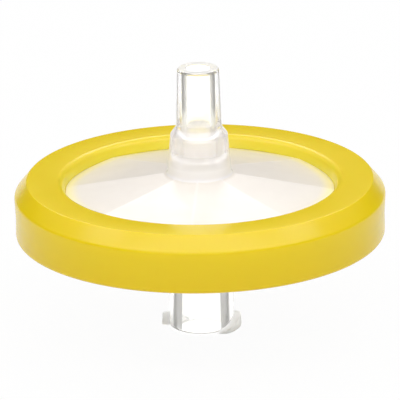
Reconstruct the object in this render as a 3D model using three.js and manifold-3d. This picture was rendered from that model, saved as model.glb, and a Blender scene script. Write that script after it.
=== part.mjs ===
// Syringe filter: two clear moulded housings clamp a membrane, and a ring moulded over their
// flanges holds them together. Millimetres, +Z up, origin at the middle of the inlet's rim.

import * as THREE from 'three';
import { mergeVertices } from 'three/addons/utils/BufferGeometryUtils.js';
import Module from 'manifold-3d';

const wasm = await Module();
wasm.setup();

// Flow axis, from the inlet's rim upwards
const neckLength = 10.5;           // inlet rim to the underside of the inlet plate
const inletPlate = 1.5;            // inlet plate at its rim
const outletPlate = 1.5;           // outlet plate at its rim, membrane recess included
const hubHeight = 5.61;            // outlet plate's rim to the hub's shoulder
const shoulderHeight = 0.73;       // sloped shoulder between hub and slip cone
const slipLength = 5.73;           // slip cone above the shoulder

// Luer fittings
const luerTaper = 0.06;            // change of diameter along the length
const slipTipRadius = 1.98;
const slipTipRound = 0.28;
const slipBore = 1.15;
const socketMouth = 2.15;
const socketDepth = 8;
const socketLeadIn = 0.12;
const neckRadius = 3.06;
const neckFillet = 0.8;
const lugRadius = 3.78;
const lugDraft = 0.08;             // lug's crest, narrower at its upper edge
const lugRise = 7;                 // lead of the lugs' upper flank, per full turn
const lugLowEnd = 0.2;             // height of a lug where it runs out into the neck
const lugSetBack = 0.03;           // lug above the neck's rim
const lugFlankDrop = 0.14;         // fall of the upper flank from the neck outwards
const lugSpan = 60;                // degrees round the neck
const lugRunOut = 14;              // degrees over which a lug grows out of the neck
const lugTurn = -60;               // azimuth of the first lug's low end
const lugCount = 2;

// Outlet housing
const plateRise = 2.2;             // faceted cone, from its rim to where its planes would meet
const facetCount = 8;
const facetTurn = -4;              // azimuth of a crease between two facets
const hubFoot = 3.05;
const hubShoulder = 2.7;
const hubShoulderRound = 0.3;
const hubFillet = 0.5;
const hubBore = 1.55;
const hubBoreDepth = 6.8;          // from the tip down to the wider bore
const throat = 1.95;
const throatDepth = 8.8;           // from the tip down to the throat
const drainDepth = 0.35;
const drainWidth = 0.6;
const drainPitch = 1.55;
const channelWidth = 0.9;
const channelFall = 0.9;           // how much deeper a radial channel is at the throat

// Inlet housing
const coneDrop = 1.9;              // underside, from the plate's rim to where it would meet
const chamberDepth = 0.35;         // at the clamp rim
const chamberFall = 0.75;          // how much deeper the chamber is at the middle
const inletThroat = 1;
const ribCount = 8;
const ribWidth = 0.55;
const ribClearance = 0.1;          // rib top below the membrane
const ribRoot = 0.3;               // rib grown into the plate that carries it

// Membrane and its clamp
const membraneThickness = 0.15;
const membraneRadius = 13.3;
const clampWidth = 1.2;            // rim of the membrane held between the plates

// Sealing ring
const ringCover = 0.65;            // rim of the membrane that the ring's window hides
const weldWidth = 2.3;             // flanges beyond the membrane, gripped by the ring
const ringWall = 1.9;              // ring outside the flanges
const windowFlare = 0.42;
const windowRound = 0.4;
const lipHeight = 1.2;             // ring above and below the plates' rims
const ringBevelWidth = 1.18;
const ringBevelHeight = 1.44;
const ringEdgeRound = 0.12;
const ringFootRound = 0.35;
const ringDraft = 0.07;            // ring's foot inside its bevel's edge
const ringWaist = 0.03;            // hollow of the ring's side
const keyWidth = 0.9;              // raised rim of each flange that keys into the ring
const keyHeight = 0.35;
const moldGap = 0.05;              // radial gap between solids that are moulded together

const segments = 64;
const arcSteps = 2;                // an outline's arc gets twice as many edges
const lugSteps = 16;
const overcut = 1;                 // how far a cutter reaches past the face it opens

// Levels and radii worked out from the sizes above
const plateUnderside = neckLength;
const parting = plateUnderside + inletPlate;
const supportFace = parting + membraneThickness;
const plateRim = parting + outletPlate;
const ringTop = plateRim + lipHeight;
const ringFoot = plateUnderside - lipHeight;
const hubTop = plateRim + hubHeight;
const shoulderTop = hubTop + shoulderHeight;
const tip = shoulderTop + slipLength;
const windowRadius = membraneRadius - ringCover;
const flangeRadius = membraneRadius + weldWidth;
const ringRadius = flangeRadius + ringWall;
const facetApothem = windowRadius - moldGap;
const chamberRadius = membraneRadius - clampWidth;
const recessRadius = membraneRadius + 2 * moldGap;
const keyRadius = flangeRadius - keyWidth;

const radians = THREE.MathUtils.degToRad;

// Closed outline in the half-plane of radius and height. Each corner is [radius, height, fillet].
function outline(corners) {
  const path = new THREE.Path();
  const points = corners.map(([radius, height]) => new THREE.Vector2(radius, height));
  points.forEach((corner, index) => {
    const fillet = corners[index][2] ?? 0;
    const before = points.at(index - 1).clone().sub(corner);
    const after = points[(index + 1) % points.length].clone().sub(corner);
    const halfAngle = Math.acos(before.clone().normalize().dot(after.clone().normalize())) / 2;
    const room = Math.min(before.length(), after.length()) / 2;
    const reach = Math.min(fillet / Math.tan(halfAngle), room);
    if (reach === 0) {
      if (index === 0) path.moveTo(corner.x, corner.y);
      else path.lineTo(corner.x, corner.y);
      return;
    }
    const radius = reach * Math.tan(halfAngle);
    const start = corner.clone().add(before.clone().setLength(reach));
    const end = corner.clone().add(after.clone().setLength(reach));
    const inwards = before.clone().normalize().add(after.clone().normalize());
    const centre = corner.clone().add(inwards.setLength(radius / Math.sin(halfAngle)));
    const from = start.clone().sub(centre).angle();
    const to = end.clone().sub(centre).angle();
    const clockwise = before.clone().negate().cross(after) < 0;
    if (index === 0) path.moveTo(start.x, start.y);
    path.absarc(centre.x, centre.y, radius, from, to, clockwise);
  });
  path.closePath();
  return path.getPoints(arcSteps);
}

// Closed mesh with shared vertices, as the boolean library takes it
function toSolid(geometry) {
  geometry.deleteAttribute('normal');
  geometry.deleteAttribute('uv');
  const merged = mergeVertices(geometry);
  const index = merged.index.array;
  const triangles = [];
  for (let i = 0; i < index.length; i += 3) {
    const [a, b, c] = index.subarray(i, i + 3);
    if (a !== b && b !== c && c !== a) triangles.push(a, b, c);
  }
  return new wasm.Manifold(new wasm.Mesh({
    numProp: 3,
    vertProperties: merged.attributes.position.array,
    triVerts: Uint32Array.from(triangles),
  }));
}

function toGeometry(solid) {
  const { vertProperties, triVerts } = solid.getMesh();
  const geometry = new THREE.BufferGeometry();
  geometry.setAttribute('position', new THREE.BufferAttribute(vertProperties, 3));
  geometry.setIndex(new THREE.BufferAttribute(triVerts, 1));
  geometry.computeVertexNormals();
  return geometry;
}

// Body of revolution about +Z
function turned(corners) {
  return toSolid(new THREE.LatheGeometry(outline(corners), segments).rotateX(Math.PI / 2));
}

// Flat web that stands on its edge in a plane through the axis, turned to its azimuth
function web(corners, width, azimuth) {
  const side = new THREE.Shape(outline(corners));
  const geometry = new THREE.ExtrudeGeometry(side, { depth: width, bevelEnabled: false });
  geometry.translate(0, 0, -width / 2);
  geometry.rotateX(Math.PI / 2);
  geometry.rotateZ(radians(azimuth));
  return toSolid(geometry);
}

// Solid through a row of sections with equally many corners each
function loft(sections) {
  const corners = sections[0].length;
  const last = (sections.length - 1) * corners;
  const index = [];
  for (let s = 0; s < sections.length - 1; s++) {
    for (let c = 0; c < corners; c++) {
      const a = s * corners + c;
      const b = s * corners + (c + 1) % corners;
      index.push(a, a + corners, b, b, a + corners, b + corners);
    }
  }
  for (let c = 1; c < corners - 1; c++) {
    index.push(0, c, c + 1, last, last + c + 1, last + c);
  }
  const geometry = new THREE.BufferGeometry().setFromPoints(sections.flat());
  geometry.setIndex(index);
  return toSolid(geometry);
}

function evenly(count, turn, make) {
  return Array.from({ length: count }, (_, i) => make(turn + i * 360 / count));
}

function named(name, geometry, finish) {
  const mesh = new THREE.Mesh(geometry, new THREE.MeshStandardMaterial(finish));
  mesh.name = name;
  return mesh;
}

// Height of the outlet plate's facets over their middle lines
function facetHeight(radius) {
  return plateRim + plateRise * (1 - radius / facetApothem);
}

// Planes that rise to the hub, trimmed round by the ring's window and sunk into the plate
function facetedCone() {
  const sunk = outletPlate / 2;
  const height = plateRise + sunk;
  const apothem = facetApothem * height / plateRise;
  const cone = new THREE.ConeGeometry(apothem / Math.cos(Math.PI / facetCount), height, facetCount);
  cone.translate(0, height / 2, 0);
  cone.rotateX(Math.PI / 2);
  cone.rotateZ(radians(facetTurn));
  cone.translate(0, 0, plateRim - sunk);
  const trim = turned([
    [0, plateRim - sunk / 2],
    [facetApothem, plateRim - sunk / 2],
    [facetApothem, plateRim + height],
    [0, plateRim + height],
  ]);
  return toSolid(cone).intersect(trim);
}

function outletHousing() {
  const slipRoot = slipTipRadius + luerTaper / 2 * slipLength;
  const underCone = 2 * moldGap;
  const body = turned([
    [0, supportFace],
    [recessRadius, supportFace],
    [recessRadius, parting],
    [flangeRadius, parting],
    [flangeRadius, plateRim + keyHeight],
    [keyRadius, plateRim + keyHeight],
    [keyRadius, plateRim],
    [facetApothem - underCone, plateRim],
    [hubFoot, facetHeight(hubFoot) - underCone, hubFillet],
    [hubShoulder, hubTop, hubShoulderRound],
    [slipRoot, shoulderTop],
    [slipTipRadius, tip, slipTipRound],
    [0, tip],
  ]);
  const bore = turned([
    [0, supportFace - overcut],
    [throat, supportFace - overcut],
    [throat, tip - throatDepth],
    [hubBore, tip - throatDepth],
    [hubBore, tip - hubBoreDepth],
    [slipBore, tip - hubBoreDepth],
    [slipBore, tip + overcut],
    [0, tip + overcut],
  ]);
  const drains = [];
  for (let radius = throat + drainPitch; radius < chamberRadius; radius += drainPitch) {
    drains.push(turned([
      [radius - drainWidth / 2, supportFace - overcut],
      [radius + drainWidth / 2, supportFace - overcut],
      [radius + drainWidth / 2, supportFace + drainDepth],
      [radius - drainWidth / 2, supportFace + drainDepth],
    ]));
  }
  const channels = evenly(facetCount, facetTurn, (azimuth) => web([
    [throat / 2, supportFace - overcut],
    [chamberRadius, supportFace - overcut],
    [chamberRadius, supportFace + drainDepth],
    [throat / 2, supportFace + drainDepth + channelFall],
  ], channelWidth, azimuth));
  return [bore, ...drains, ...channels].reduce((solid, cut) => solid.subtract(cut), body.add(facetedCone()));
}

// Lug whose foot is level with the rim and whose upper flank climbs as a thread does
function lockLug(azimuth) {
  const sections = [];
  const root = (neckRadius + socketMouth) / 2;
  for (let i = 0; i <= lugSteps; i++) {
    const along = lugSpan * i / lugSteps;
    const angle = radians(azimuth + along);
    const grown = Math.sin(Math.min(along / lugRunOut, 1) * Math.PI / 2);
    const crest = neckRadius - moldGap + (lugRadius - neckRadius + moldGap) * grown;
    const top = lugSetBack + lugLowEnd + lugRise * along / 360;
    sections.push([
      [root, lugSetBack],
      [crest, lugSetBack],
      [crest - lugDraft, top - lugFlankDrop],
      [root, top],
    ].map(([radius, height]) => new THREE.Vector3(
      radius * Math.cos(angle), radius * Math.sin(angle), height)));
  }
  return loft(sections);
}

function inletHousing() {
  const coneFoot = plateUnderside - coneDrop * (1 - neckRadius / windowRadius);
  const body = turned([
    [0, 0],
    [neckRadius, 0],
    [neckRadius, coneFoot, neckFillet],
    [windowRadius, plateUnderside],
    [keyRadius, plateUnderside],
    [keyRadius, plateUnderside - keyHeight],
    [flangeRadius, plateUnderside - keyHeight],
    [flangeRadius, parting],
    [0, parting],
  ]);
  const socketEnd = socketMouth - luerTaper / 2 * socketDepth;
  const passage = turned([
    [0, -overcut],
    [socketMouth + socketLeadIn, -overcut],
    [socketMouth + socketLeadIn, 0],
    [socketMouth, socketLeadIn],
    [socketEnd, socketDepth],
    [inletThroat, socketDepth],
    [inletThroat, parting - chamberDepth - chamberFall],
    [chamberRadius, parting - chamberDepth],
    [chamberRadius, parting + overcut],
    [0, parting + overcut],
  ]);
  const ribs = evenly(ribCount, facetTurn, (azimuth) => web([
    [2 * inletThroat, parting - chamberDepth - chamberFall - ribRoot],
    [chamberRadius + ribRoot, parting - chamberDepth - ribRoot],
    [chamberRadius + ribRoot, parting - ribClearance],
    [2 * inletThroat, parting - ribClearance],
  ], ribWidth, azimuth));
  const lugs = evenly(lugCount, lugTurn, lockLug);
  const hollow = lugs.reduce((solid, lug) => solid.add(lug), body).subtract(passage);
  return ribs.reduce((solid, rib) => solid.add(rib), hollow);
}

function sealingRing() {
  const sideTop = ringTop - ringBevelHeight;
  const footRadius = ringRadius - ringDraft;
  return turned([
    [windowRadius, plateRim],
    [keyRadius - moldGap, plateRim],
    [keyRadius - moldGap, plateRim + keyHeight],
    [flangeRadius + moldGap, plateRim + keyHeight],
    [flangeRadius + moldGap, plateUnderside - keyHeight],
    [keyRadius - moldGap, plateUnderside - keyHeight],
    [keyRadius - moldGap, plateUnderside],
    [windowRadius, plateUnderside],
    [windowRadius + windowFlare, ringFoot, windowRound],
    [footRadius, ringFoot, ringFootRound],
    [footRadius - ringWaist, (sideTop + ringFoot) / 2],
    [ringRadius, sideTop, ringEdgeRound],
    [ringRadius - ringBevelWidth, ringTop, ringEdgeRound],
    [windowRadius + windowFlare, ringTop, windowRound],
  ]);
}

function membraneDisc() {
  const disc = new THREE.CylinderGeometry(membraneRadius, membraneRadius, membraneThickness, segments);
  return disc.translate(0, membraneThickness / 2, 0).rotateX(Math.PI / 2);
}

const clearPlastic = { color: '#eef0ee', roughness: 0.12, metalness: 0, transparent: true, opacity: 0.5 };
const yellowPlastic = { color: '#e8cc26', roughness: 0.28, metalness: 0 };
const whiteMembrane = { color: '#fbfaf6', roughness: 0.9, metalness: 0 };

const filter = new THREE.Group();
const membrane = named('membrane', membraneDisc(), whiteMembrane);
membrane.position.z = parting;
filter.add(
  named('outlet_housing', toGeometry(outletHousing()), clearPlastic),
  named('inlet_housing', toGeometry(inletHousing()), clearPlastic),
  named('sealing_ring', toGeometry(sealingRing()), yellowPlastic),
  membrane,
);

export default filter;
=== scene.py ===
import bpy
import numpy as np
from bpy.props import FloatProperty, FloatVectorProperty, IntProperty, PointerProperty
from bpy.types import Operator, Panel, PropertyGroup
from mathutils import Matrix, Vector


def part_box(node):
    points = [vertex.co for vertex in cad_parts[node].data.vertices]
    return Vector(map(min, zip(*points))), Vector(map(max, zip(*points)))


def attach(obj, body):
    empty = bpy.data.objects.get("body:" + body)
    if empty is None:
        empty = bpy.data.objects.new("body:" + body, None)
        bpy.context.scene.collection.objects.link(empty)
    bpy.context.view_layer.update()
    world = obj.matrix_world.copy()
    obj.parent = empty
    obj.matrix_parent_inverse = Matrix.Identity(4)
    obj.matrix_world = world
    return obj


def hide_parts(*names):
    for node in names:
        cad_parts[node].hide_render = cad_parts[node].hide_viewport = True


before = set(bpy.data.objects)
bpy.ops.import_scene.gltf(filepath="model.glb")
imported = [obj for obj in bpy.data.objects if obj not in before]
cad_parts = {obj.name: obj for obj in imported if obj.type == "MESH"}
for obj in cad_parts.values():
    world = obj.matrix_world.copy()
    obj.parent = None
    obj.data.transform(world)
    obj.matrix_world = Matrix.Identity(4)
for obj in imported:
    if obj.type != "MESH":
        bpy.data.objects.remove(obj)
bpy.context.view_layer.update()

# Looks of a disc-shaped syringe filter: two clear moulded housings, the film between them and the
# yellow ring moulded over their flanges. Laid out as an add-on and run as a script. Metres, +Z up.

bl_info = {
    "name": "Syringe Filter",
    "version": (1, 0, 0),
    "blender": (4, 5, 0),
    "location": "View3D > Sidebar > Syringe Filter",
    "description": "Clear housings, membrane and sealing ring of a syringe filter",
    "category": "Object",
}

MM = 0.001
BODY = "root"

# Places taken from the frame
RING_LOW, RING_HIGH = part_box("sealing_ring")
INLET_LOW, INLET_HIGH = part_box("inlet_housing")
OUTLET_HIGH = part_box("outlet_housing")[1]
MEMBRANE_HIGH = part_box("membrane")[1]
RING_RADIUS = RING_HIGH.x
FLANGE_RADIUS = OUTLET_HIGH.x
MEMBRANE_RADIUS = MEMBRANE_HIGH.x
PARTING = INLET_HIGH.z
SUPPORT_FACE = MEMBRANE_HIGH.z
TIP = OUTLET_HIGH.z


def length(name, millimetres, description):
    """A size in metres, given here in millimetres."""
    return FloatProperty(
        name=name, description=description, default=millimetres * MM, min=0, unit="LENGTH", precision=5
    )


def turn(name, degrees, description):
    """An angle, given here in degrees."""
    return FloatProperty(name=name, description=description, default=np.radians(degrees), unit="ROTATION")


def colour(name, code, description):
    """A colour as six sRGB hex digits, kept as linear numbers."""
    return FloatVectorProperty(
        name=name, description=description, default=linear(code)[:3], size=3, subtype="COLOR", min=0, max=1
    )


def linear(code):
    """Linear RGBA of six sRGB hex digits."""
    srgb = np.array([int(code[i:i + 2], 16) for i in (0, 2, 4)]) / 255
    rgb = np.where(srgb <= 0.04045, srgb / 12.92, ((srgb + 0.055) / 1.055) ** 2.4)
    return (*(float(c) for c in rgb), 1.0)


class RingSizes(PropertyGroup):
    """Section of the sealing ring."""

    lip: length("Lip height", 1.2, "Ring above and below the plates' rims")
    window: length("Window radius", 12.65, "Clear plate left open by the ring")
    flare: length("Window flare", 0.42, "Widening of the window towards the face")
    window_round: length("Window rounding", 0.65, "Rounding between the window and the face")
    bevel_width: length("Bevel width", 1.18, "Bevel round the upper face, across")
    bevel_height: length("Bevel height", 1.44, "Bevel round the upper face, down")
    bevel_round: length("Bevel rounding", 0.14, "Rounding between the upper face and the bevel")
    side_round: length("Side rounding", 0.5, "Rounding between the bevel and the side")
    foot_round: length("Foot rounding", 0.4, "Rounding of the lower outer edge")
    draft: length("Side draft", 0.07, "Foot inside the bevel's edge")
    waist: length("Side waist", 0.03, "Hollow of the side")
    wall: length("Groove clearance", 0.02, "Groove of the ring round the plates")
    tint: colour("Ring colour", "E8CB06", "Yellow of the moulded ring")


class HousingSizes(PropertyGroup):
    """Sizes of the two clear housings."""

    facets: IntProperty(name="Facets", description="Planes of the outlet plate", default=8, min=3)
    facet_turn: turn("Facet turn", -4, "Azimuth of a crease between two planes")
    rise: length("Plate rise", 2.2, "Planes from the plate's rim to where they would meet")
    hub_foot: length("Hub foot radius", 3.05, "Hub where it leaves the plate")
    hub_top: length("Hub top radius", 2.7, "Hub below its shoulder")
    hub_fillet: length("Hub fillet", 0.5, "Rounding between hub and plate")
    hub_height: length("Hub height", 5.61, "Plate's rim to the shoulder")
    shoulder: length("Shoulder height", 0.73, "Slope between hub and slip cone")
    slip_tip: length("Slip cone tip radius", 1.98, "Slip cone at its end")
    slip_bore: length("Slip cone bore radius", 1.15, "Bore of the slip cone")
    hub_bore: length("Hub bore radius", 1.55, "Wider bore in the hub")
    hub_bore_depth: length("Hub bore depth", 6.8, "Tip down to the wider bore")
    throat: length("Throat radius", 1.95, "Bore at the plate's inner face")
    throat_depth: length("Throat depth", 8.8, "Tip down to the throat")
    film_gap: length("Film gap", 0.03, "Gap between the membrane and the inner face")
    neck: length("Neck radius", 3.06, "Inlet neck")
    neck_fillet: length("Neck fillet", 0.8, "Rounding between neck and plate")
    cone_drop: length("Underside drop", 1.9, "Inlet plate's rim to where its cone would meet")
    socket: length("Socket mouth radius", 2.15, "Tapered socket at its mouth")
    socket_depth: length("Socket depth", 8, "Tapered socket, rim to step")
    inlet_bore: length("Inlet bore radius", 1, "Bore past the socket")
    chamber_depth: length("Chamber depth", 0.35, "Inlet chamber at the clamp rim")
    chamber_fall: length("Chamber fall", 0.75, "How much deeper the chamber is at the middle")
    clamp: length("Clamp width", 1.2, "Rim of the membrane held between the plates")
    lug: length("Lug radius", 3.78, "Crest of the lock lugs")
    lug_draft: length("Lug draft", 0.08, "Crest of a lug, narrower at its upper edge")
    lug_low: length("Lug low end", 0.2, "Lug where it runs out into the neck")
    lug_foot: length("Lug foot", 0.03, "Lug above the neck's rim")
    lug_flank: length("Lug flank", 0.14, "Fall of the upper flank outwards")
    lug_lead: length("Lug lead", 7, "Climb of the upper flank in a full turn")
    lug_turn: turn("Lug turn", -60, "Azimuth of the first lug's low end")
    lug_span: turn("Lug span", 60, "Lug round the neck")
    lug_run_out: turn("Lug run-out", 14, "Part over which a lug grows out of the neck")
    tint: colour("Clear plastic colour", "FEFEFD", "Plastic of cone, bores, neck and socket")


class StageLook(PropertyGroup):
    """Place, turn and lens of the camera."""

    distance: length("Camera distance", 500, "Camera to the middle of the ring's top")
    elevation: turn("Camera elevation", 18.67, "Camera above the horizon")
    roll: turn("Camera roll", -0.87, "Turn of the camera about its own axis")
    aim: length("Camera aim", 2.208, "Point looked at, below the middle of the ring's top")
    lens: FloatProperty(name="Lens", description="Focal length", default=478, unit="CAMERA")


# ---------------------------------------------------------------- surfaces

# Change of a luer cone's diameter, as a share of its length
LUER_TAPER = 0.06

# Fineness of the surfaces: steps in a rounding, columns round the axis, and the angle from which an edge
# is sharp
ARC_STEPS = 6
COLUMNS = 400
SHARP_ANGLE = np.radians(35)

# Keeps a division from failing where two corners of an outline meet
TINY = 1e-9

# Gap between the rim of the outlet's planes and the ring's window
RIM_GAP = 0.01 * MM

# Roundings of the small edges and corners
WAIST_ROUND = 6 * MM
PLATE_RIM_ROUND = 0.02 * MM
SHOULDER_ROUND = 0.3 * MM
SLIP_ROOT_ROUND = 0.2 * MM
TIP_ROUND = 0.28 * MM
TIP_BORE_ROUND = 0.1 * MM
STEP_EDGE = 0.06 * MM
STEP_CORNER = 0.15 * MM
SOCKET_MOUTH_ROUND = 0.12 * MM
NECK_RIM_ROUND = 0.06 * MM
LUG_FOOT_ROUND = 0.04 * MM
LUG_EDGE_ROUND = 0.12 * MM
LUG_TOP_ROUND = 0.1 * MM
CLAMP_EDGE = 0.05 * MM
CHAMBER_ROUND = 0.1 * MM

# How the faces of the finishes are told apart
TIP_MARGIN = 0.04 * MM  # end face, below the tip
MOUTH_DEPTH = 0.12 * MM  # bore's mouth, below the tip
SHOULDER_MARGIN = 0.05 * MM  # below the shoulder's upper edge
BORE_REACH = 1.01  # times the throat's radius
HUB_MARGIN = 0.2 * MM  # outside the hub's foot
HUB_START = 0.8  # share of the planes' rise
LUG_MARGIN = 0.02 * MM  # outside the neck
LUG_ZONE = 3 * MM  # above the neck's rim


def azimuths(start):
    """Evenly spaced azimuths of the surface's columns, the first one at start."""
    return start + np.arange(COLUMNS) * 2 * np.pi / COLUMNS


def level(value):
    """One value for each column, from a single value or from one for each."""
    return np.broadcast_to(value, COLUMNS)


def rounded_loop(corners):
    """Closed outline in radius and height for each column. A corner is (radius, height, fillet), where the
    radius and height may change from column to column. A fillet is the arc that touches both edges at that
    corner: a conic through its two tangent points with the corner as its third, weighted by the sine of the
    half-angle."""
    points = np.array([[level(r), level(z)] for r, z, _ in corners]).transpose(0, 2, 1)
    to_before = np.roll(points, 1, axis=0) - points
    to_after = np.roll(points, -1, axis=0) - points
    rows = []
    for corner, before, after, (_, _, fillet) in zip(points, to_before, to_after, corners):
        if fillet == 0:
            rows.append(corner)
            continue
        long_before = np.linalg.norm(before, axis=1)
        long_after = np.linalg.norm(after, axis=1)
        u = before / np.maximum(long_before, TINY)[:, None]
        v = after / np.maximum(long_after, TINY)[:, None]
        half = np.arccos(np.clip((u * v).sum(1), -1, 1)) / 2
        room = np.minimum(long_before, long_after) / 2
        reach = np.minimum(fillet / np.maximum(np.tan(half), TINY), room)
        start = corner + u * reach[:, None]
        end = corner + v * reach[:, None]
        weight = np.sin(half)[:, None]
        for t in np.linspace(0, 1, ARC_STEPS + 1):
            a, b, c = (1 - t) ** 2, 2 * t * (1 - t) * weight, t ** 2
            rows.append((a * start + b * corner + c * end) / (a + b + c))
    return np.array(rows)


def revolve(name, loop, angles):
    """Closed surface with one row for each point of the outline and one column for each azimuth:
    x = radius cos(azimuth), y = radius sin(azimuth), z = height. The outline runs anticlockwise."""
    radius, height = loop[..., 0], loop[..., 1]
    points = np.stack([radius * np.cos(angles), radius * np.sin(angles), height], axis=-1)
    rows, columns = radius.shape
    here = np.arange(rows * columns).reshape(rows, columns)
    aside = np.roll(here, -1, axis=1)
    quads = np.stack([here, aside, np.roll(aside, -1, axis=0), np.roll(here, -1, axis=0)], axis=-1)
    mesh = bpy.data.meshes.new(name)
    mesh.from_pydata(points.reshape(-1, 3), [], quads.reshape(-1, 4))
    mesh.validate()
    mesh.shade_smooth()
    mesh.set_sharp_from_angle(angle=SHARP_ANGLE)
    piece = bpy.data.objects.new(name, mesh)
    bpy.context.scene.collection.objects.link(piece)
    return piece


def stand_for(piece, cad_node, material):
    """The piece stands for a node of the frame and takes its body, slot and main finish."""
    piece.data.materials.append(material)
    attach(piece, BODY)
    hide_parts(cad_node)


def finish_faces(piece, choices):
    """Each face takes the first finish whose test it meets. The other faces keep the main finish."""
    for finish, _ in choices:
        piece.data.materials.append(finish)
    tests = [test for _, test in choices]
    chosen = np.select(tests, range(1, len(tests) + 1), 0)
    piece.data.polygons.foreach_set("material_index", chosen.astype(np.int32))


def face_places(piece):
    """Radius and height of the middle of each face."""
    centres = np.zeros(len(piece.data.polygons) * 3)
    piece.data.polygons.foreach_get("center", centres)
    x, y, z = centres.reshape(-1, 3).T
    return np.hypot(x, y), z


def plate_height(sizes, window, radius, angles):
    """Height over the plate's rim of the facets, which are planes: each falls evenly along the direction
    of its own middle line, and the plate follows the lowest of them."""
    pitch = 2 * np.pi / sizes.facets
    off_middle = (angles - sizes.facet_turn) % pitch - pitch / 2
    return sizes.rise * (1 - radius * np.cos(off_middle) / window)


# ---------------------------------------------------------------- materials

PLASTIC_INDEX = 1.49

# Tint of the cloudy patches in the clearer finishes
CLOUD = "FBFAF7"

# Range that most of a noise pattern lies in
NOISE_LOW, NOISE_HIGH = 0.3, 0.7

# A colour mix has its sockets under the same names as a mix of numbers, so they go by their places
FIRST, SECOND, MIXED = 6, 7, 2


def node(tree, kind, at, inputs=None, **settings):
    """Adds a node, sets it, and fills its inputs with values or links."""
    made = tree.nodes.new(kind)
    made.location = at
    for key, value in settings.items():
        setattr(made, key, value)
    for key, value in (inputs or {}).items():
        if isinstance(value, bpy.types.NodeSocket):
            tree.links.new(value, made.inputs[key])
        else:
            made.inputs[key].default_value = value
    return made


def new_material(name):
    """An empty node material and its tree."""
    material = bpy.data.materials.new(name)
    material.use_nodes = True
    material.node_tree.nodes.clear()
    return material, material.node_tree


def by_height(tree, where, heights, values, at):
    """Changes evenly from the first value at the first height to the second value at the second height."""
    split = node(tree, "ShaderNodeSeparateXYZ", (at[0] - 200, at[1]), {"Vector": where.outputs["Object"]})
    change = node(tree, "ShaderNodeMapRange", at, {
        "Value": split.outputs["Z"], "From Min": heights[0], "From Max": heights[1],
        "To Min": values[0], "To Max": values[1]})
    return change.outputs["Result"]


def by_facing(tree, turned, values, at):
    """Changes evenly between two values as the surface turns, from 0 for face-on to 1 for edge-on."""
    facing = node(tree, "ShaderNodeLayerWeight", (at[0] - 200, at[1]))
    change = node(tree, "ShaderNodeMapRange", at, {
        "Value": facing.outputs["Facing"], "From Min": turned[0], "From Max": turned[1],
        "To Min": values[0], "To Max": values[1]})
    return change.outputs["Result"]


def from_axis(tree, where):
    """Distance of a point from the filter's axis."""
    flat = node(tree, "ShaderNodeVectorMath", (-1100, -450), {
        0: where.outputs["Object"], 1: (1, 1, 0)}, operation="MULTIPLY")
    away = node(tree, "ShaderNodeVectorMath", (-950, -450), {0: flat.outputs[0]}, operation="LENGTH")
    return away.outputs["Value"]


def by_radius(tree, where, radii, values, at):
    """Changes smoothly from the first value at the first radius to the second value at the second radius."""
    change = node(tree, "ShaderNodeMapRange", at, {
        "Value": from_axis(tree, where), "From Min": radii[0], "From Max": radii[1],
        "To Min": values[0], "To Max": values[1]}, interpolation_type="SMOOTHSTEP")
    return change.outputs["Result"]


def lay_tint(tree, shader, share, tint, at):
    """Lays a colour over the shader's own, by a share that changes over the surface."""
    base = shader.inputs["Base Color"]
    mixed = node(tree, "ShaderNodeMix", at, {
        "Factor": share, FIRST: base.links[0].from_socket, SECOND: tint}, data_type="RGBA")
    tree.links.new(mixed.outputs[MIXED], base)


def natural_plastic(name, rough, tint, cloud=CLOUD):
    """Natural polypropylene, moulded. What it doesn't let through comes back from within as a soft white.
    That white clouds from one tint to the other in patches, as the melt flowed, and the gloss changes with
    them. Light from the lamps goes on nearly whole to what lies behind."""
    patch, wave = 2.5 * MM, 0.02 * MM
    roughest = 1.25 * rough
    material, tree = new_material(name)
    where = node(tree, "ShaderNodeTexCoord", (-1500, 0))
    flow = node(tree, "ShaderNodeTexNoise", (-1100, 0), {
        "Vector": where.outputs["Object"], "Scale": 1 / patch, "Detail": 2, "Roughness": 0.5})
    gloss = node(tree, "ShaderNodeMapRange", (-650, 200), {
        "Value": flow.outputs["Fac"], "From Min": NOISE_LOW, "From Max": NOISE_HIGH,
        "To Min": rough, "To Max": roughest})
    body = node(tree, "ShaderNodeMix", (-850, -80), {
        "Factor": flow.outputs["Fac"], FIRST: tint, SECOND: linear(cloud)}, data_type="RGBA")
    relief = node(tree, "ShaderNodeBump", (-450, -320), {
        "Height": flow.outputs["Fac"], "Strength": 0.05, "Distance": wave})
    shader = node(tree, "ShaderNodeBsdfPrincipled", (-150, 0), {
        "Base Color": body.outputs[MIXED], "Roughness": gloss.outputs["Result"],
        "Normal": relief.outputs["Normal"], "IOR": PLASTIC_INDEX})
    lamps = node(tree, "ShaderNodeLightPath", (-150, 420))
    through = node(tree, "ShaderNodeBsdfTransparent", (-150, -520), {"Color": linear("F6F6F4")})
    mixed = node(tree, "ShaderNodeMixShader", (150, 0), {
        0: lamps.outputs["Is Shadow Ray"], 1: shader.outputs["BSDF"], 2: through.outputs["BSDF"]})
    node(tree, "ShaderNodeOutputMaterial", (350, 0), {"Surface": mixed.outputs["Shader"]})
    return material, tree, where, shader


def let_through(tree, shader, clear, slant=1.0):
    """Lets the share named clear straight through, and slant times that where light crosses at a slant."""
    slanting = (0.55, 0.78)
    share = by_facing(tree, slanting, (clear, slant * clear), (-350, 450))
    tree.links.new(share, shader.inputs["Transmission Weight"])


def fade_downwards(tree, where, shader, low, high, least):
    """Makes the plastic less clear downwards, from all of its share at high to least times that at low."""
    clear = shader.inputs["Transmission Weight"]
    thinner = by_height(tree, where, (low, high), (least, 1), (-450, 750))
    share = node(tree, "ShaderNodeMath", (-250, 600), {
        0: clear.links[0].from_socket, 1: thinner}, operation="MULTIPLY")
    tree.links.new(share.outputs[0], clear)


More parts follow.
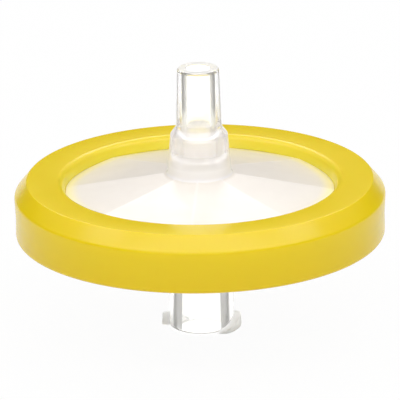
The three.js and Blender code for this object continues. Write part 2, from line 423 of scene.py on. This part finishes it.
def paint_shade_lines(tree, shader, painted_lines, grey, clear):
    """Paints soft grey lines of shade, given as a share at each point. Between them the plastic lets the
    share named clear through, and in them nothing."""
    lay_tint(tree, shader, painted_lines, linear(grey), (-400, -80))
    share = node(tree, "ShaderNodeMapRange", (-350, 650), {"Value": painted_lines, "To Min": clear, "To Max": 0})
    tree.links.new(share.outputs["Result"], shader.inputs["Transmission Weight"])


def painted_bore_shade(tree, end, index=PLASTIC_INDEX):
    """Painted shade: grey lines down either side of a bore, standing in for the darker bands that the clear
    wall shows there. The core pin leaves the wall matt, so light that would bounce off it from inside the
    plastic is scattered. They follow the Fresnel share of the wall, raised to a power so that it sets in
    sharply. They grow as the wall turns from the eye, and stop where it is turned as far as end."""
    sharpness, softness = 3, 0.06
    growing, least = (0.24, 0.45), 0.6
    stopping = (end - softness, end)
    bounce = node(tree, "ShaderNodeFresnel", (-1100, 600), {"IOR": index})
    sharper = node(tree, "ShaderNodeMath", (-900, 600), {
        0: bounce.outputs["Fac"], 1: sharpness}, operation="POWER")
    grown = by_facing(tree, growing, (least, 1), (-900, 300))
    kept = by_facing(tree, stopping, (1, 0), (-900, 450))
    shaded = node(tree, "ShaderNodeMath", (-700, 400), {0: grown, 1: kept}, operation="MULTIPLY")
    painted_lines = node(tree, "ShaderNodeMath", (-550, 550), {
        0: sharper.outputs[0], 1: shaded.outputs[0]}, operation="MULTIPLY")
    return painted_lines.outputs[0]


def slip_cone_plastic(sizes):
    """Polished mould, so the cone looks clear and glossy. Painted shade draws a thin grey line near either
    edge of its wall, and above the shoulder its sides thin out and let the plain background show."""
    starting, ending, strength = (0.62, 0.68), (0.8, 0.9), 0.65
    sides = (0.38, 0.48)
    root, above_root, least = TIP - 5.65 * MM, TIP - 5.2 * MM, 0.15
    material, tree, where, shader = natural_plastic(
        "natural_polypropylene_polished_slip_cone", rough=0.08, tint=(*sizes.tint, 1))
    # Painted shade: a thin grey line laid near either edge of the wall.
    shown = by_facing(tree, starting, (0, strength), (-900, 1500))
    spent = by_facing(tree, ending, (1, 0), (-900, 1700))
    painted_line = node(tree, "ShaderNodeMath", (-700, 1600), {0: shown, 1: spent}, operation="MULTIPLY")
    paint_shade_lines(tree, shader, painted_line.outputs[0], "8C8C8C", clear=0.95)
    thin = by_height(tree, where, (root, above_root), (0, 1 - least), (-900, 900))
    aside = by_facing(tree, sides, (0, 1), (-900, 1100))
    gone = node(tree, "ShaderNodeMath", (-700, 1000), {0: thin, 1: aside}, operation="MULTIPLY")
    bare = node(tree, "ShaderNodeMath", (-600, 1200), {0: 1, 1: painted_line.outputs[0]}, operation="SUBTRACT")
    open_share = node(tree, "ShaderNodeMath", (-550, 1100), {
        0: gone.outputs[0], 1: bare.outputs[0]}, operation="MULTIPLY")
    kept = node(tree, "ShaderNodeMath", (-500, 1000), {0: 1, 1: open_share.outputs[0]}, operation="SUBTRACT")
    tree.links.new(kept.outputs[0], shader.inputs["Alpha"])
    return material


def pin_bore_plastic(sizes, shoulder):
    """Matt from the core pin, with two grey bands of painted shade down the bore of the slip cone, standing
    in for the darker bands the clear bore shows. They fade towards the shoulder, where the wall is thick and
    the plastic milky."""
    band_foot, band_top, band_least = shoulder + 0.2 * MM, shoulder + 2.0 * MM, 0.35
    milky, clearest = shoulder + 0.1 * MM, shoulder + 0.9 * MM
    material, tree, where, shader = natural_plastic(
        "natural_polypropylene_matt_pin_bore_painted_shade", rough=0.12, tint=(*sizes.tint, 1))
    weaker = by_height(tree, where, (band_foot, band_top), (band_least, 1), (-700, 1300))
    # Painted shade: grey bands laid down either side of the bore.
    painted_bands = node(tree, "ShaderNodeMath", (-450, 700), {
        0: painted_bore_shade(tree, end=0.62), 1: weaker}, operation="MULTIPLY")
    paint_shade_lines(tree, shader, painted_bands.outputs[0], "8E8E8E", clear=0.95)
    fade_downwards(tree, where, shader, milky, clearest, least=0.75)
    return material


def hub_bore_plastic(sizes):
    """Rougher core pin, so the wide bore and the throat look frosted and blur what is seen through them."""
    material, tree, _, shader = natural_plastic(
        "natural_polypropylene_frosted_hub_bore", rough=0.4, tint=(*sizes.tint, 1))
    let_through(tree, shader, clear=0.9)
    return material


def hub_plastic(sizes):
    """Satin mould and a thick wall, so the hub blurs what is behind it. It turns milky towards its foot, and
    where light crosses it at a slant."""
    throat_top = TIP - sizes.throat_depth
    milky, clearest = throat_top - 0.6 * MM, throat_top + 0.9 * MM
    material, tree, where, shader = natural_plastic(
        "natural_polypropylene_satin_hub", rough=0.2, tint=linear("FEFBFC"), cloud="F9F7F9")
    let_through(tree, shader, clear=0.78, slant=0.4)
    fade_downwards(tree, where, shader, milky, clearest, least=0.0)
    return material


def plate_plastic(sizes, window):
    """Finely matt mould, so the plate looks frosted, and warm over the membrane. Painted highlights lie
    along its creases, and a painted reflection of the ring lies round its rim as a pale yellow glow."""
    glow_reach, glow_end = 1.4 * MM, 0.15 * MM
    material, tree, where, shader = natural_plastic(
        "natural_polypropylene_frosted_plate", rough=0.3, tint=linear("F1ECE6"), cloud="EBE5DF")
    let_through(tree, shader, clear=0.28)
    # Painted highlights: lighter lines laid along the creases.
    lay_tint(tree, shader, painted_crease_highlights(tree, where, sizes), linear("F4EFEA"), (-600, -150))
    # Painted reflection: a pale yellow glow laid round the rim, standing in for the ring mirrored in the
    # plate.
    glow = by_radius(tree, where, (window - glow_reach, window - glow_end), (0, 1), (-600, -650))
    lay_tint(tree, shader, glow, linear("FFF6C4"), (-400, -150))
    return material


def painted_crease_highlights(tree, where, sizes):
    """Painted highlight lines along the creases between the planes. The azimuth from the nearest crease,
    times the radius, is how far a point lies from it. A line has its full share near the crease and fades
    from there."""
    full, faded = 0.05 * MM, 0.2 * MM
    split = node(tree, "ShaderNodeSeparateXYZ", (-1300, -300), {"Vector": where.outputs["Object"]})
    azimuth = node(tree, "ShaderNodeMath", (-1100, -300), {
        0: split.outputs["Y"], 1: split.outputs["X"]}, operation="ARCTAN2")
    turned = node(tree, "ShaderNodeMath", (-950, -300), {
        0: azimuth.outputs[0], 1: sizes.facet_turn}, operation="SUBTRACT")
    nearest = node(tree, "ShaderNodeMath", (-800, -300), {
        0: turned.outputs[0], 1: np.pi / sizes.facets}, operation="PINGPONG")
    away = node(tree, "ShaderNodeMath", (-650, -350), {
        0: nearest.outputs[0], 1: from_axis(tree, where)}, operation="MULTIPLY")
    painted_line = node(tree, "ShaderNodeMapRange", (-500, -350), {
        "Value": away.outputs[0], "From Min": full, "From Max": faded, "To Min": 1, "To Max": 0})
    return painted_line.outputs["Result"]


def tip_plastic():
    """End face, matt where the two sides of the mould met, so it shows as a whitish ring."""
    material, tree, _, shader = natural_plastic(
        "natural_polypropylene_matt_tip", rough=0.3, tint=linear("FFFFFF"))
    let_through(tree, shader, clear=0.35)
    return material


def neck_plastic(sizes):
    """Polished mould, so the neck and the inlet's plate look clear and glossy."""
    material, tree, _, shader = natural_plastic(
        "natural_polypropylene_polished_neck", rough=0.06, tint=(*sizes.tint, 1))
    let_through(tree, shader, clear=0.95)
    return material


def socket_plastic(sizes):
    """Matt from its core pin, with grey lines of painted shade down its wall, standing in for the darker
    bands the clear socket shows. The neck in front widens the view of it, so these lines start and stop
    sooner than a bare bore's as the wall turns from the eye, which takes a higher index."""
    material, tree, _, shader = natural_plastic(
        "natural_polypropylene_matt_socket_painted_shade", rough=0.12, tint=(*sizes.tint, 1))
    # Painted shade: grey lines laid down either side of the socket.
    paint_shade_lines(tree, shader, painted_bore_shade(tree, end=0.46, index=1.72), "808080", clear=0.95)
    return material


def lug_plastic():
    """Spark-eroded mould, so the lock lugs look matt, and whiter than the neck."""
    material, tree, _, shader = natural_plastic(
        "natural_polypropylene_eroded_lug", rough=0.6, tint=linear("FFFFFF"))
    let_through(tree, shader, clear=0.75)
    return material


def yellow_moulded_plastic(sizes):
    """Yellow polypropylene, injection moulded: fairly glossy, and light goes a little way in. The colour
    clouds slightly. A painted glow makes it paler at the lip by the window, and painted shade makes it
    deeper towards the foot, where less light falls from above. The grain is coarser than the mould's own,
    which would be too fine to show."""
    patch, grain_size, wave = 4 * MM, 0.4 * MM, 0.02 * MM
    lip_width, lip_share = 0.95 * MM, 0.8
    smooth, rough = 0.2, 0.25
    side_top = RING_HIGH.z - sizes.bevel_height
    material, tree = new_material("yellow_polypropylene_moulded")
    where = node(tree, "ShaderNodeTexCoord", (-900, 0))
    flow = node(tree, "ShaderNodeTexNoise", (-700, 100), {
        "Vector": where.outputs["Object"], "Scale": 1 / patch, "Detail": 3, "Roughness": 0.55})
    grain = node(tree, "ShaderNodeTexNoise", (-700, -250), {
        "Vector": where.outputs["Object"], "Scale": 1 / grain_size, "Detail": 2})
    tint = node(tree, "ShaderNodeMix", (-450, 150), {
        "Factor": flow.outputs["Fac"], FIRST: (*sizes.tint, 1), SECOND: linear("EACE0E")},
        data_type="RGBA")
    gloss = node(tree, "ShaderNodeMapRange", (-450, -80), {
        "Value": flow.outputs["Fac"], "From Min": NOISE_LOW, "From Max": NOISE_HIGH,
        "To Min": smooth, "To Max": rough})
    relief = node(tree, "ShaderNodeBump", (-450, -320), {
        "Height": grain.outputs["Fac"], "Strength": 0.02, "Distance": wave})
    shader = node(tree, "ShaderNodeBsdfPrincipled", (-150, 0), {
        "Base Color": tint.outputs[MIXED], "Roughness": gloss.outputs["Result"],
        "Normal": relief.outputs["Normal"], "IOR": PLASTIC_INDEX, "Specular IOR Level": 0.38,
        "Subsurface Weight": 0.35, "Subsurface Radius": (1.0, 0.7, 0.2), "Subsurface Scale": 1.2 * MM})
    # Painted glow: the lip by the window is laid paler, standing in for the light the white plate throws on
    # it.
    thin = by_radius(tree, where, (sizes.window, sizes.window + lip_width), (lip_share, 0), (-450, 400))
    lay_tint(tree, shader, thin, linear("F2DF4E"), (-300, 150))
    # Painted shade: the side is laid deeper yellow towards the foot, where less light falls.
    painted_foot_shade = by_height(tree, where, (RING_LOW.z, side_top), (1, 0), (-450, 600))
    lay_tint(tree, shader, painted_foot_shade, linear("E1C304"), (-300, 400))
    node(tree, "ShaderNodeOutputMaterial", (150, 0), {"Surface": shader.outputs["BSDF"]})
    return material


def white_membrane_film():
    """Cast polymer membrane: matt white. Its pores are too fine to show, so a cloudy grain of 0.6 mm stands
    for them."""
    grain_size, wave = 0.6 * MM, 0.03 * MM
    material, tree = new_material("white_membrane_cast_film")
    where = node(tree, "ShaderNodeTexCoord", (-900, 0))
    grain = node(tree, "ShaderNodeTexNoise", (-700, 0), {
        "Vector": where.outputs["Object"], "Scale": 1 / grain_size, "Detail": 4})
    tint = node(tree, "ShaderNodeMix", (-450, 0), {
        "Factor": grain.outputs["Fac"], FIRST: linear("F1EBE3"), SECOND: linear("ECE5DC")},
        data_type="RGBA")
    relief = node(tree, "ShaderNodeBump", (-450, -250), {
        "Height": grain.outputs["Fac"], "Strength": 0.1, "Distance": wave})
    shader = node(tree, "ShaderNodeBsdfPrincipled", (-150, 0), {
        "Base Color": tint.outputs[MIXED], "Roughness": 0.85, "Normal": relief.outputs["Normal"]})
    node(tree, "ShaderNodeOutputMaterial", (150, 0), {"Surface": shader.outputs["BSDF"]})
    return material


def pale_floor():
    """White paper sweep: matt, and plain white to the eye apart from shadow. It is brighter where it is seen
    through the plastic, to make up for what the plastic takes. The grain is coarser than the paper's, which
    would be too fine to show."""
    grain_size = 3 * MM
    plain_share, seen_through = 0.96, 1.35
    material, tree = new_material("white_paper_sweep")
    where = node(tree, "ShaderNodeTexCoord", (-1300, -100))
    grain = node(tree, "ShaderNodeTexNoise", (-900, -300), {
        "Vector": where.outputs["Object"], "Scale": 1 / grain_size, "Detail": 3})
    tint = node(tree, "ShaderNodeMix", (-600, -300), {
        "Factor": grain.outputs["Fac"], FIRST: linear("F4F4F4"), SECOND: linear("F1F1F1")},
        data_type="RGBA")
    shader = node(tree, "ShaderNodeBsdfPrincipled", (-300, -200), {
        "Base Color": tint.outputs[MIXED], "Roughness": 0.9, "Specular IOR Level": 0.1})
    paths = node(tree, "ShaderNodeLightPath", (-900, 400))
    brightness = node(tree, "ShaderNodeMapRange", (-300, 300), {
        "Value": paths.outputs["Is Transmission Ray"], "To Min": 1.0, "To Max": seen_through})
    white = node(tree, "ShaderNodeEmission", (-100, 200), {
        "Color": linear("FFFFFF"), "Strength": brightness.outputs[0]})
    direct = node(tree, "ShaderNodeMath", (-700, 500), {
        0: paths.outputs["Is Camera Ray"], 1: paths.outputs["Is Glossy Ray"]}, operation="MAXIMUM")
    seen = node(tree, "ShaderNodeMath", (-500, 500), {
        0: direct.outputs[0], 1: paths.outputs["Is Transmission Ray"]}, operation="MAXIMUM")
    share = node(tree, "ShaderNodeMath", (-300, 500), {
        0: seen.outputs[0], 1: plain_share}, operation="MULTIPLY")
    mixed = node(tree, "ShaderNodeMixShader", (100, 0), {
        0: share.outputs[0], 1: shader.outputs["BSDF"], 2: white.outputs["Emission"]})
    node(tree, "ShaderNodeOutputMaterial", (300, 0), {"Surface": mixed.outputs["Shader"]})
    return material


# ---------------------------------------------------------------- operators

class FILTER_OT_stage(Operator):
    """Floor, soft light, world and camera"""

    bl_idname = "syringe_filter.stage"
    bl_label = "Stage"

    def execute(self, context):
        look = context.scene.filter_stage
        self.camera(context, look)
        self.floor(context)
        self.lamps(context)
        self.world(context)
        context.scene.view_settings.view_transform = "Standard"
        return {"FINISHED"}

    def camera(self, context, look):
        """Stands in front at the given elevation, and looks a little below the ring's top."""
        ring_top = Vector((0, 0, RING_HIGH.z))
        back = Vector((0, -np.cos(look.elevation), np.sin(look.elevation)))
        eye = ring_top + look.distance * back
        forward = (ring_top + Vector((0, 0, -look.aim)) - eye).normalized()
        right = forward.cross(Vector((0, 0, 1))).normalized()
        up = right.cross(forward)
        pose = Matrix((right, up, -forward)).transposed().to_4x4()
        data = bpy.data.cameras.new("camera")
        data.lens = look.lens
        camera = bpy.data.objects.new("camera", data)
        camera.matrix_world = Matrix.Translation(eye) @ pose @ Matrix.Rotation(look.roll, 4, "Z")
        context.scene.collection.objects.link(camera)
        context.scene.camera = camera

    def floor(self, context):
        """A square of paper, 6 m across."""
        reach = 3.0
        corners = [(x * reach, y * reach, 0) for x, y in ((-1, -1), (1, -1), (1, 1), (-1, 1))]
        mesh = bpy.data.meshes.new("floor")
        mesh.from_pydata(corners, [], [(0, 1, 2, 3)])
        floor = bpy.data.objects.new("floor", mesh)
        mesh.materials.append(pale_floor())
        context.scene.collection.objects.link(floor)

    def lamps(self, context):
        """Each softbox: its centre, the point it faces, its width and height, and how bright it looks."""
        for name, centre, facing, width, height, brightness in (
            ("overhead_softbox", (0.02, 0, 0.41), (0.02, 0, 0), 0.74, 0.37, 0.52),
            ("bevel_strip", (0, -0.25, 0.42), (0, 0, 0.01), 0.8, 0.1, 3.2),
            ("left_panel", (-0.385, -0.075, 0.42), (0, 0, 0.01), 0.2, 0.16, 2.4),
            ("right_panel", (0.385, -0.075, 0.42), (0, 0, 0.01), 0.2, 0.16, 2.4),
            ("back_softbox", (0, 0.44, 0.42), (0, 0, 0.01), 0.45, 0.14, 4),
            ("front_softbox", (0, -0.6, 0.36), (0, 0, 0.01), 0.8, 0.35, 1.15),
        ):
            data = bpy.data.lights.new(name, "AREA")
            data.shape = "RECTANGLE"
            data.size, data.size_y = width, height
            data.energy = brightness * np.pi * width * height
            lamp = bpy.data.objects.new(name, data)
            lamp.location = centre
            away = Vector(centre) - Vector(facing)
            lamp.rotation_euler = away.to_track_quat("Z", "Y").to_euler()
            context.scene.collection.objects.link(lamp)

    def world(self, context):
        """White room. Glossy rays see only a share of it near the horizon, so that the ring keeps its
        colour, and other bounces see a grey, which fills the shadows. The two limits are sines of the
        height over the horizon."""
        dim_until, white_from, dim_share = 0.3, 0.6, 0.08
        fill = 0.4
        world = bpy.data.worlds.new("studio")
        context.scene.world = world
        world.use_nodes = True
        tree = world.node_tree
        tree.nodes.clear()
        where = node(tree, "ShaderNodeTexCoord", (-1100, 0))
        split = node(tree, "ShaderNodeSeparateXYZ", (-900, 0), {"Vector": where.outputs["Generated"]})
        room = node(tree, "ShaderNodeMapRange", (-700, 0), {
            "Value": split.outputs["Z"], "From Min": dim_until, "From Max": white_from,
            "To Min": dim_share, "To Max": 1.0})
        paths = node(tree, "ShaderNodeLightPath", (-1100, 300))
        mirrored = node(tree, "ShaderNodeMath", (-700, 200), {
            0: paths.outputs["Is Glossy Ray"], 1: room.outputs["Result"]}, operation="MULTIPLY")
        plain = node(tree, "ShaderNodeMath", (-700, 400), {
            0: paths.outputs["Is Camera Ray"], 1: paths.outputs["Is Transmission Ray"]}, operation="MAXIMUM")
        white = node(tree, "ShaderNodeMath", (-500, 300), {
            0: plain.outputs[0], 1: mirrored.outputs[0]}, operation="MAXIMUM")
        grey = node(tree, "ShaderNodeMapRange", (-500, 50), {
            "Value": paths.outputs["Is Glossy Ray"], "To Min": fill, "To Max": 0.0})
        seen = node(tree, "ShaderNodeMix", (-300, 0), {
            "Factor": white.outputs[0], FIRST: grey.outputs["Result"], SECOND: linear("FFFFFF")},
            data_type="RGBA")
        glow = node(tree, "ShaderNodeBackground", (-100, 0), {"Color": seen.outputs[MIXED], "Strength": 1.0})
        node(tree, "ShaderNodeOutputWorld", (100, 0), {"Surface": glow.outputs["Background"]})


class FILTER_OT_ring(Operator):
    """Yellow sealing ring, moulded over both flanges"""

    bl_idname = "syringe_filter.ring"
    bl_label = "Sealing ring"

    def execute(self, context):
        sizes = context.scene.filter_ring
        top, foot = RING_HIGH.z, RING_LOW.z
        upper, lower = top - sizes.lip + sizes.wall, foot + sizes.lip - sizes.wall
        face = sizes.window + sizes.flare
        side_top = top - sizes.bevel_height
        side_foot = RING_RADIUS - sizes.draft
        groove = FLANGE_RADIUS + sizes.wall
        corners = [
            (sizes.window, upper, 0),
            (groove, upper, 0),
            (groove, lower, 0),
            (sizes.window, lower, 0),
            (face, foot, sizes.window_round),
            (side_foot, foot, sizes.foot_round),
            (side_foot - sizes.waist, (side_top + foot) / 2, WAIST_ROUND),
            (RING_RADIUS, side_top, sizes.side_round),
            (RING_RADIUS - sizes.bevel_width, top, sizes.bevel_round),
            (face, top, sizes.window_round),
        ]
        piece = revolve("ring_moulding", rounded_loop(corners), azimuths(0))
        stand_for(piece, "sealing_ring", yellow_moulded_plastic(sizes))
        return {"FINISHED"}


class FILTER_OT_outlet(Operator):
    """Clear outlet housing with its faceted plate, hub and slip cone"""

    bl_idname = "syringe_filter.outlet"
    bl_label = "Outlet housing"

    def execute(self, context):
        sizes = context.scene.filter_housing
        ring = context.scene.filter_ring
        angles = azimuths(sizes.facet_turn)
        rim = RING_HIGH.z - ring.lip
        window = ring.window - RIM_GAP
        planes_rim = rim + plate_height(sizes, window, window, angles)
        planes_top = rim + plate_height(sizes, window, sizes.hub_foot, angles)
        hub_top = rim + sizes.hub_height
        shoulder = hub_top + sizes.shoulder
        slip_root = sizes.slip_tip + LUER_TAPER / 2 * (TIP - shoulder)
        bore_step = TIP - sizes.hub_bore_depth
        throat_top = TIP - sizes.throat_depth
        inner = SUPPORT_FACE + sizes.film_gap
        corners = [
            (sizes.throat, inner, STEP_CORNER),
            (MEMBRANE_RADIUS - sizes.clamp, inner, 0),
            (FLANGE_RADIUS, inner, 0),
            (FLANGE_RADIUS, rim, 0),
            (window, rim, 0),
            (window, planes_rim, PLATE_RIM_ROUND),
            (sizes.hub_foot, planes_top, sizes.hub_fillet),
            (sizes.hub_top, hub_top, SHOULDER_ROUND),
            (slip_root, shoulder, SLIP_ROOT_ROUND),
            (sizes.slip_tip, TIP, TIP_ROUND),
            (sizes.slip_bore, TIP, TIP_BORE_ROUND),
            (sizes.slip_bore, bore_step, STEP_EDGE),
            (sizes.hub_bore, bore_step, STEP_CORNER),
            (sizes.hub_bore, throat_top, STEP_EDGE),
            (sizes.throat, throat_top, STEP_CORNER),
        ]
        piece = revolve("outlet_shell", rounded_loop(corners), angles)
        stand_for(piece, "outlet_housing", slip_cone_plastic(sizes))
        radius, z = face_places(piece)
        within = radius < BORE_REACH * sizes.throat
        under_mouth = z < TIP - MOUTH_DEPTH
        under_shoulder = z < shoulder - SHOULDER_MARGIN
        on_hub = (radius < sizes.hub_foot + HUB_MARGIN) & (z > rim + HUB_START * sizes.rise)
        finish_faces(piece, [
            (tip_plastic(), z > TIP - TIP_MARGIN),
            (pin_bore_plastic(sizes, shoulder), within & (z > bore_step) & under_mouth),
            (hub_bore_plastic(sizes), within & under_mouth),
            (hub_plastic(sizes), on_hub & under_shoulder),
            (plate_plastic(sizes, window), under_shoulder),
        ])
        return {"FINISHED"}


class FILTER_OT_inlet(Operator):
    """Clear inlet housing with its neck, socket and lock lugs"""

    bl_idname = "syringe_filter.inlet"
    bl_label = "Inlet housing"

    def execute(self, context):
        sizes = context.scene.filter_housing
        ring = context.scene.filter_ring
        angles = azimuths(0)
        under = RING_LOW.z + ring.lip
        rim = INLET_LOW.z
        cone_foot = under - sizes.cone_drop * (1 - sizes.neck / ring.window)
        crest, top = self.lugs(sizes, angles)
        upper_crest = crest - sizes.lug_draft * (crest > sizes.neck + sizes.lug_draft)
        lug_foot = rim + sizes.lug_foot
        socket_top = rim + sizes.socket_depth
        socket_end = sizes.socket - LUER_TAPER / 2 * sizes.socket_depth
        clamp = MEMBRANE_RADIUS - sizes.clamp
        chamber = PARTING - sizes.chamber_depth
        corners = [
            (sizes.socket, rim, SOCKET_MOUTH_ROUND),
            (sizes.neck, rim, NECK_RIM_ROUND),
            (sizes.neck, lug_foot, LUG_FOOT_ROUND),
            (crest, lug_foot, LUG_EDGE_ROUND),
            (upper_crest, rim + top - sizes.lug_flank, LUG_EDGE_ROUND),
            (sizes.neck, rim + top, LUG_TOP_ROUND),
            (sizes.neck, cone_foot, sizes.neck_fillet),
            (ring.window, under, 0),
            (FLANGE_RADIUS, under, 0),
            (FLANGE_RADIUS, PARTING, 0),
            (clamp, PARTING, CLAMP_EDGE),
            (clamp, chamber, CHAMBER_ROUND),
            (sizes.inlet_bore, chamber - sizes.chamber_fall, CHAMBER_ROUND),
            (sizes.inlet_bore, socket_top, CHAMBER_ROUND),
            (socket_end, socket_top, STEP_CORNER),
        ]
        piece = revolve("inlet_shell", rounded_loop(corners), angles)
        stand_for(piece, "inlet_housing", neck_plastic(sizes))
        radius, z = face_places(piece)
        finish_faces(piece, [
            (socket_plastic(sizes), (radius < sizes.socket) & (z > rim + SOCKET_MOUTH_ROUND)),
            (lug_plastic(), (radius > sizes.neck + LUG_MARGIN) & (z < rim + LUG_ZONE)),
        ])
        return {"FINISHED"}

    def lugs(self, sizes, angles):
        """Crest radius and upper height round the neck: two equal lugs, each growing out of the neck over
        its first part and climbing evenly, as a thread does."""
        along = (angles - sizes.lug_turn) % np.pi
        on_lug = along < sizes.lug_span
        grown = np.sin(np.clip(along / sizes.lug_run_out, 0, 1) * np.pi / 2)
        crest = np.where(on_lug, sizes.neck + (sizes.lug - sizes.neck) * grown, sizes.neck)
        climb = sizes.lug_lead * np.where(on_lug, along, sizes.lug_span) / (2 * np.pi)
        return crest, sizes.lug_foot + sizes.lug_low + climb


class FILTER_OT_membrane(Operator):
    """Finish of the membrane, which keeps its place and shape"""

    bl_idname = "syringe_filter.membrane"
    bl_label = "Membrane"

    def execute(self, context):
        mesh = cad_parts["membrane"].data
        mesh.materials.clear()
        mesh.materials.append(white_membrane_film())
        return {"FINISHED"}


class FILTER_PT_panel(Panel):
    """Sidebar list of the filter's pieces"""

    bl_idname = "FILTER_PT_panel"
    bl_label = "Syringe Filter"
    bl_space_type = "VIEW_3D"
    bl_region_type = "UI"
    bl_category = "Syringe Filter"

    def draw(self, context):
        for operator in OPERATORS:
            self.layout.operator(operator.bl_idname)


OPERATORS = (FILTER_OT_stage, FILTER_OT_ring, FILTER_OT_outlet, FILTER_OT_inlet, FILTER_OT_membrane)
GROUPS = {"filter_ring": RingSizes, "filter_housing": HousingSizes, "filter_stage": StageLook}
CLASSES = (*GROUPS.values(), *OPERATORS, FILTER_PT_panel)


def register():
    for kind in CLASSES:
        bpy.utils.register_class(kind)
    for name, group in GROUPS.items():
        setattr(bpy.types.Scene, name, PointerProperty(type=group))


def unregister():
    for name in GROUPS:
        delattr(bpy.types.Scene, name)
    for kind in reversed(CLASSES):
        bpy.utils.unregister_class(kind)


def main():
    """Makes the stage and the pieces in order."""
    register()
    bpy.ops.syringe_filter.stage()
    bpy.ops.syringe_filter.ring()
    bpy.ops.syringe_filter.outlet()
    bpy.ops.syringe_filter.inlet()
    bpy.ops.syringe_filter.membrane()


if __name__ == "__main__":
    main()
